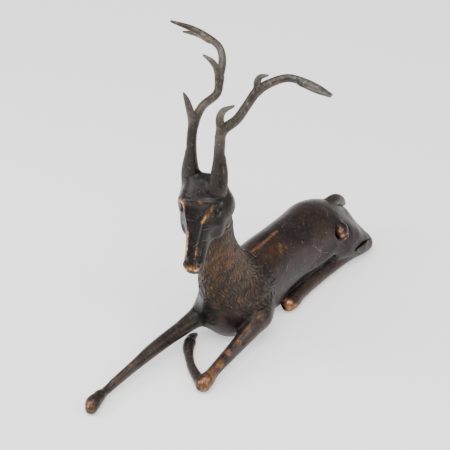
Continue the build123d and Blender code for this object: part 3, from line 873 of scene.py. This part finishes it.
def sculpt(name, cell):
    """Surface of one casting: (points, quads, {attribute: values})."""
    low, high = box_mm(name)
    whole = Field(low - BOX_PAD, high + BOX_PAD, cell)
    x, y, z = whole.points(tuple(slice(0, n) for n in whole.d.shape))
    fields = join_families(whole)
    own, other, bare = claims(name, whole, fields, x, y, z)
    skin = Field(low - BOX_PAD, high + BOX_PAD, cell)
    skin.d = np.maximum(whole.d, (own - other) / 2 + SEAM_GAP)
    skin.d = np.maximum(skin.d, box_field(low, high, x, y, z)).astype(np.float32)
    points, quads = skin.mesh()
    points = points.astype(float)
    normals, volume = normals_of(points, quads)
    if volume < 0:
        quads = quads[:, ::-1]
        normals = -normals
    near_blur = blur(whole.d, max(1, round(NEAR_BLUR / skin.cell)))
    wide_blur = blur(whole.d, max(1, round(WIDE_BLUR / skin.cell)))
    edge = (whole.sample(points, near_blur) * NEAR_EDGE
            + whole.sample(points, wide_blur) * WIDE_EDGE)
    strokes = np.zeros(len(points))
    if name in MANED:
        clear = whole.sample(points, bare) - whole.sample(points, own)
        points, strokes = engrave(points, normals, whole, clear)
        points = np.clip(points, low + BOX_INSET, high - BOX_INSET)
    # real wear and painted highlights, in the same places
    rub_and_glint = spots(points, RUBBED_AND_GLINTS) + edges(points, RUBBED_AND_GLINT_EDGES)
    marks = {
        "edge": edge,
        "fur": strokes,
        "rub_and_glint": np.clip(rub_and_glint, 0, MOST_MARKED),
        "green": spots(points, VERDIGRIS),
        "warm": spots(points, WARM),
    }
    return points, quads, marks


# ---- patina ------------------------------------------------------------------------------------------
def linear(red, green, blue):
    """Linear colour from 8-bit display values."""
    out = []
    for value in (red, green, blue):
        share = value / 255
        out.append(share / 12.92 if share <= 0.04045 else ((share + 0.055) / 1.055) ** 2.4)
    return (*out, 1.0)


class Nodes:
    """Short names for building a shader."""

    def __init__(self, name):
        self.material = bpy.data.materials.new(name)
        self.material.use_nodes = True
        self.tree = self.material.node_tree
        self.tree.nodes.clear()
        self.place = self.node("ShaderNodeTexCoord").outputs["Object"]
        self.out = self.node("ShaderNodeOutputMaterial")

    def node(self, kind, **values):
        made = self.tree.nodes.new(kind)
        for key, value in values.items():
            setattr(made, key, value)
        return made

    def put(self, value, socket):
        """Link a socket to another, or set its value."""
        if isinstance(value, bpy.types.NodeSocket):
            self.tree.links.new(value, socket)
        else:
            socket.default_value = value

    def math(self, operation, a, b=0.0, clamp=False):
        made = self.node("ShaderNodeMath", operation=operation, use_clamp=clamp)
        self.put(a, made.inputs[0])
        self.put(b, made.inputs[1])
        return made.outputs[0]

    def times(self, a, b, clamp=False):
        return self.math("MULTIPLY", a, b, clamp)

    def plus(self, a, b, clamp=False):
        return self.math("ADD", a, b, clamp)

    def attribute(self, name):
        return self.node("ShaderNodeAttribute", attribute_name=name).outputs["Fac"]

    def noise(self, size_mm, detail=4.0, rough=0.55, distort=0.0, offset=0.0):
        """Noise with features of about one size, shifted so that no two are alike."""
        made = self.node("ShaderNodeTexNoise")
        made.inputs["Scale"].default_value = 1000 / size_mm
        made.inputs["Detail"].default_value = detail
        made.inputs["Roughness"].default_value = rough
        made.inputs["Distortion"].default_value = distort
        shift = self.node("ShaderNodeVectorMath", operation="ADD")
        self.put(self.place, shift.inputs[0])
        shift.inputs[1].default_value = (offset, offset * 0.7, -offset)
        self.put(shift.outputs[0], made.inputs["Vector"])
        return made.outputs["Fac"]

    def ramp(self, value, low, high):
        """Smooth step from 0 at the low value to 1 at the high one."""
        made = self.node("ShaderNodeMapRange", interpolation_type="SMOOTHSTEP")
        self.put(value, made.inputs["Value"])
        self.put(low, made.inputs["From Min"])
        self.put(high, made.inputs["From Max"])
        return made.outputs["Result"]

    def mix(self, share, first, second):
        """Colour between two, all of the second one at a share of 1."""
        made = self.node("ShaderNodeMix", data_type="RGBA")
        self.put(share, made.inputs[0])
        self.put(first, made.inputs[6])
        self.put(second, made.inputs[7])
        return made.outputs[2]


COPPER = linear(186, 122, 86)
GOLD = linear(172, 120, 60)
# painted highlight: near-white tone of the most rubbed metal
GLINT_TONE = linear(214, 198, 180)
OCHRE = linear(96, 62, 30)
TEAL = linear(72, 100, 82)
# darker patina and painted shade in the hollows
HOLLOW_PATINA_AND_SHADE_TONE = linear(14, 11, 10)
# painted shade in the furrows of the mane strokes
FURROW_SHADE_TONE = linear(20, 16, 14)
# painted highlight on the crests of the mane strokes
CREST_HIGHLIGHT_TONE = linear(138, 112, 88)
SCRATCH_TONE = linear(150, 132, 118)
SPECK_TONE = linear(140, 122, 104)
FOOT_TONE_END = SOLE.z * MM + 0.258     # height where the brown foot of the antlers ends, m
FOOT_TONE_FADE = 0.04                   # m
FOOT_TONE_RAGGED = 0.03                 # how far blotches push that end up or down, m
SCRATCH_CELL = 34                       # size of the net that the hairline scratches lie on, mm
SCRATCH_WIDTH = 0.0055                  # share of a cell
GLOSS = 0.3                             # specular level
BUMP_STRENGTH, BUMP_HEIGHT = 0.55, 0.0007


def body_tones(n, dark, base, bright, blotch, grain):
    """Blotches of two dark tones with a grain of a brighter one."""
    colour = n.mix(n.ramp(blotch, 0.36, 0.64), dark, base)
    return n.mix(n.times(n.ramp(grain, 0.52, 0.72), 0.5), colour, bright)


def with_foot(n, colour, foot, blotch):
    """A foot tone below a ragged line, the colour above it."""
    split = n.node("ShaderNodeSeparateXYZ")
    n.put(n.place, split.inputs[0])
    ragged = n.plus(split.outputs["Z"], n.times(blotch, FOOT_TONE_RAGGED))
    return n.mix(n.ramp(ragged, FOOT_TONE_END, FOOT_TONE_END + FOOT_TONE_FADE), foot, colour)


def with_ochre(n, colour):
    """Patches of ochre in the warm places."""
    warm = n.times(n.attribute("warm"), n.ramp(n.noise(12, 4, 0.6, 0.6, 2.0), 0.36, 0.6))
    return n.mix(n.times(warm, 0.8, True), colour, OCHRE)


def verdigris(n, hollow):
    """Share of green crust: in the green places and, less, in every hollow."""
    return n.times(n.ramp(n.noise(7, 5, 0.65, 0.8, 5.0), 0.5, 0.68),
                   n.plus(n.attribute("green"), n.times(hollow, 0.35)))


def mane_shade_and_highlight(n, colour, grain, depth):
    """Painted shade in the furrows and painted highlight on the crests of the engraved strokes."""
    strokes = n.attribute("fur")
    furrow_shade = n.math("SUBTRACT", 1.0, n.ramp(strokes, -0.42, 0.1))
    colour = n.mix(n.times(furrow_shade, depth), colour, FURROW_SHADE_TONE)
    crest_highlight = n.times(n.ramp(strokes, 0.05, 0.4), n.ramp(grain, 0.42, 0.66))
    return n.mix(n.times(crest_highlight, 0.55), colour, CREST_HIGHLIGHT_TONE)


def rubbed_metal_and_glint(n, edge, wear):
    """How far the patina is worn off, 0 to 1, and the colour of the metal under it, painted near-white as
    a highlight where it is most rubbed.
    """
    touch = n.plus(n.times(n.ramp(edge, 0.5, 2.6), 0.75 * wear), n.attribute("rub_and_glint"))
    torn = n.plus(n.times(n.noise(3.4, 6, 0.7, 0.6, 9.0), 1.9), -0.35)
    worn = n.ramp(n.times(touch, torn), 0.2, 1.1)
    metal = n.mix(n.ramp(n.noise(9, 3, 0.5, 0.0, 4.0), 0.42, 0.58), COPPER, GOLD)
    # painted highlight: the most rubbed metal turns near-white
    painted_glint = n.ramp(n.times(touch, n.noise(4, 4, 0.6, 0.0, 6.0)), 0.6, 1.2)
    return worn, n.mix(painted_glint, metal, GLINT_TONE)


def hairlines(n):
    """Scattered hairline scratches: 1 on a scratch, 0 elsewhere."""
    net = n.node("ShaderNodeTexVoronoi", feature="DISTANCE_TO_EDGE")
    net.inputs["Scale"].default_value = 1 / (SCRATCH_CELL * MM)
    n.put(n.place, net.inputs["Vector"])
    line = n.math("LESS_THAN", net.outputs["Distance"], SCRATCH_WIDTH)
    return n.times(line, n.ramp(n.noise(11, 3, 0.6, 0.0, 11.0), 0.56, 0.62))


def relief_bump(n, grain, hair):
    """Normals of the cast skin: grain, fine grain, slow waves and the scratches."""
    fine = n.noise(0.9, 3, 0.6, 0.0, 7.0)
    relief = n.plus(n.times(grain, 0.6), n.times(fine, 0.25))
    relief = n.plus(relief, n.times(n.noise(9, 3, 0.5, 0.3, 15.0), 1.4))
    relief = n.plus(relief, n.times(hair, -0.4))
    bump = n.node("ShaderNodeBump")
    bump.inputs["Strength"].default_value = BUMP_STRENGTH
    bump.inputs["Distance"].default_value = BUMP_HEIGHT
    n.put(relief, bump.inputs["Height"])
    return bump.outputs[0]


def patina(name, dark, base, bright, wear=1.0, green=1.0, rough=0.38, metal_share=0.45,
           painted_fur_shade=0.0, foot=None, scratch=0.25):
    """Brown bronze patina: mottled body, copper on rubbed edges with a painted near-white highlight where
    most rubbed, verdigris in hollows together with darker patina and painted shade, and painted shade and
    highlights on the mane strokes.

    A foot tone, when given, replaces the body tones near the skull.
    """
    n = Nodes(name)
    edge = n.attribute("edge")
    blotch = n.noise(26, 5, 0.6, 0.4)
    grain = n.noise(3.2, 4, 0.6, 0.2, 3.0)
    colour = body_tones(n, dark, base, bright, blotch, grain)
    if foot:
        colour = with_foot(n, colour, foot, blotch)
    colour = with_ochre(n, colour)
    hollow = n.ramp(n.times(edge, -1.0), 0.15, 1.3)
    # painted shade: hollows are darkened towards near-black, together with the darker patina that stays
    # in them
    colour = n.mix(n.times(hollow, 0.75), colour, HOLLOW_PATINA_AND_SHADE_TONE)
    teal = verdigris(n, hollow)
    colour = n.mix(n.times(teal, 0.75 * green, True), colour, TEAL)
    if painted_fur_shade:
        # painted shade in the mane furrows and painted highlight on its crests
        colour = mane_shade_and_highlight(n, colour, grain, painted_fur_shade)
    # copper where worn, with a painted near-white highlight where most rubbed
    worn, metal = rubbed_metal_and_glint(n, edge, wear)
    colour = n.mix(n.times(worn, 0.9), colour, metal)
    hair = hairlines(n)
    colour = n.mix(n.times(hair, scratch), colour, SCRATCH_TONE)
    speck = n.ramp(n.noise(1.7, 2, 0.5, 0.0, 13.0), 0.69, 0.76)
    colour = n.mix(n.times(speck, 0.6), colour, SPECK_TONE)
    dull = n.plus(n.times(n.math("SUBTRACT", grain, 0.5), 0.35), rough)
    dull = n.plus(dull, n.times(worn, -0.12))
    dull = n.plus(dull, n.times(teal, 0.2), True)

    shade = n.node("ShaderNodeBsdfPrincipled")
    n.put(colour, shade.inputs["Base Color"])
    n.put(n.plus(n.times(worn, 0.5), metal_share, True), shade.inputs["Metallic"])
    n.put(dull, shade.inputs["Roughness"])
    shade.inputs["Specular IOR Level"].default_value = GLOSS
    n.put(relief_bump(n, grain, hair), shade.inputs["Normal"])
    n.put(shade.outputs[0], n.out.inputs["Surface"])
    return n.material


MATERIALS = {
    "patina_body": patina("bronze_body", linear(34, 27, 26), linear(52, 41, 37),
                          linear(80, 64, 57), wear=0.6, painted_fur_shade=0.8, scratch=0.5),
    "patina_mane": patina("bronze_mane", linear(32, 26, 22), linear(60, 46, 34),
                          linear(90, 72, 54), wear=0.5, painted_fur_shade=0.85),
    "patina_head": patina("bronze_head", linear(20, 18, 18), linear(42, 38, 36),
                          linear(62, 56, 52), wear=0.9, rough=0.32),
    "patina_antler": patina("bronze_antler", linear(56, 50, 43), linear(92, 84, 75),
                            linear(126, 118, 108), wear=0.4, rough=0.42, foot=linear(40, 33, 28)),
    "patina_antler_tip": patina("bronze_antler_tip", linear(50, 47, 43),
                                linear(92, 88, 82), linear(150, 147, 142), wear=0.5, rough=0.4),
    "patina_ear": patina("bronze_ear", linear(26, 24, 21), linear(44, 39, 33),
                         linear(66, 58, 50), wear=0.7),
    "patina_leg": patina("bronze_leg", linear(42, 35, 32), linear(64, 54, 49),
                         linear(92, 80, 72), wear=0.7),
    "patina_hind": patina("bronze_hind", linear(40, 32, 28), linear(60, 46, 40),
                          linear(86, 70, 60), wear=0.7),
    "patina_tail": patina("bronze_tail", linear(36, 35, 31), linear(54, 51, 45),
                          linear(78, 74, 66), wear=0.5),
}
RAW = patina("raw_bronze_inside", linear(104, 76, 48), linear(150, 110, 68),
             linear(182, 140, 92), wear=0.2, green=0.4, rough=0.5, metal_share=0.7)


# ---- pieces ------------------------------------------------------------------------------------------
def make_piece(node, points, quads, marks, material):
    """Blender mesh of one casting, in metres, standing for its CAD node."""
    mesh = bpy.data.meshes.new(node + "_cast")
    place = (points + np.array(SOLE)) * MM
    mesh.from_pydata(place.tolist(), [], quads.tolist())
    mesh.polygons.foreach_set("use_smooth", np.ones(len(mesh.polygons), bool))
    for name, values in marks.items():
        layer = mesh.attributes.new(name, "FLOAT", "POINT")
        layer.data.foreach_set("value", values.astype(np.float32))
    mesh.materials.append(material)
    piece = bpy.data.objects.new(node + "_cast", mesh)
    bpy.context.scene.collection.objects.link(piece)
    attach(piece, "root")
    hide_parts(node)
    return piece


for node, (owned, cell, slot) in PIECES.items():
    points, quads, marks = sculpt(node, cell)
    piece = make_piece(node, points, quads, marks, MATERIALS[slot])
    print("piece", node, len(points), "points", len(quads), "quads")

for node, thing in frame["nodes"].items():
    if node not in PIECES:
        thing.data.materials.clear()
        thing.data.materials.append(RAW)

# ---- floor, light and camera ---------------------------------------------------------------------------
FLOOR_SIZE = 12.0                       # m
FLOOR_TONE, FLOOR_ROUGH, FLOOR_GLOW = 0.9, 0.9, 0.6
ROOM_LIGHT = 0.6
WHITE = (1, 1, 1, 1)

floor_mesh = bpy.data.meshes.new("floor")
half_floor = FLOOR_SIZE / 2
ground = SOLE.z * MM
floor_mesh.from_pydata(
    [(-half_floor, -half_floor, ground), (half_floor, -half_floor, ground),
     (half_floor, half_floor, ground), (-half_floor, half_floor, ground)], [], [(0, 1, 2, 3)])
floor = bpy.data.objects.new("floor", floor_mesh)
bpy.context.scene.collection.objects.link(floor)
paper = Nodes("paper")
paper_shade = paper.node("ShaderNodeBsdfPrincipled")
paper_shade.inputs["Base Color"].default_value = (FLOOR_TONE, FLOOR_TONE, FLOOR_TONE, 1)
paper_shade.inputs["Roughness"].default_value = FLOOR_ROUGH
paper_shade.inputs["Emission Color"].default_value = WHITE
paper_shade.inputs["Emission Strength"].default_value = FLOOR_GLOW
paper.put(paper_shade.outputs[0], paper.out.inputs["Surface"])
floor_mesh.materials.append(paper.material)

world = bpy.data.worlds.new("studio")
bpy.context.scene.world = world
world.use_nodes = True
room = world.node_tree.nodes["Background"]
room.inputs["Color"].default_value = WHITE
room.inputs["Strength"].default_value = ROOM_LIGHT

CAMERA_AZIMUTH, CAMERA_HEIGHT = math.radians(37.5), math.radians(36)
CAMERA_DISTANCE = 2.25                  # m
LENS, SENSOR = 180, 36                  # mm
TARGET = SOLE * MM + Vector((0, -0.022, 0.137))
toward_camera = Vector((
    math.sin(CAMERA_AZIMUTH) * math.cos(CAMERA_HEIGHT),
    -math.cos(CAMERA_AZIMUTH) * math.cos(CAMERA_HEIGHT),
    math.sin(CAMERA_HEIGHT),
))


def soft_light(name, way, distance, size, power):
    """Square soft box that faces the statuette."""
    data = bpy.data.lights.new(name, "AREA")
    data.shape = "SQUARE"
    data.size = size
    data.energy = power
    lamp = bpy.data.objects.new(name, data)
    bpy.context.scene.collection.objects.link(lamp)
    way = Vector(way).normalized()
    lamp.location = TARGET + way * distance
    lamp.rotation_euler = way.to_track_quat("Z", "Y").to_euler()


# name: way from the statuette, distance and size in m, power in W
SOFT_LIGHTS = {
    "overhead": ((0.1, -0.2, 1.0), 1.5, 1.3, 26),
    "left_box": ((-0.9, -0.8, 0.7), 1.5, 0.9, 14),
    "right_box": ((1.0, 0.1, 0.6), 1.6, 0.8, 8),
}
for name, settings in SOFT_LIGHTS.items():
    soft_light(name, *settings)

camera_data = bpy.data.cameras.new("camera")
camera_data.lens = LENS
camera_data.sensor_width = SENSOR
camera = bpy.data.objects.new("camera", camera_data)
bpy.context.scene.collection.objects.link(camera)
camera.location = TARGET + toward_camera * CAMERA_DISTANCE
camera.rotation_euler = toward_camera.to_track_quat("Z", "Y").to_euler()
bpy.context.scene.camera = camera
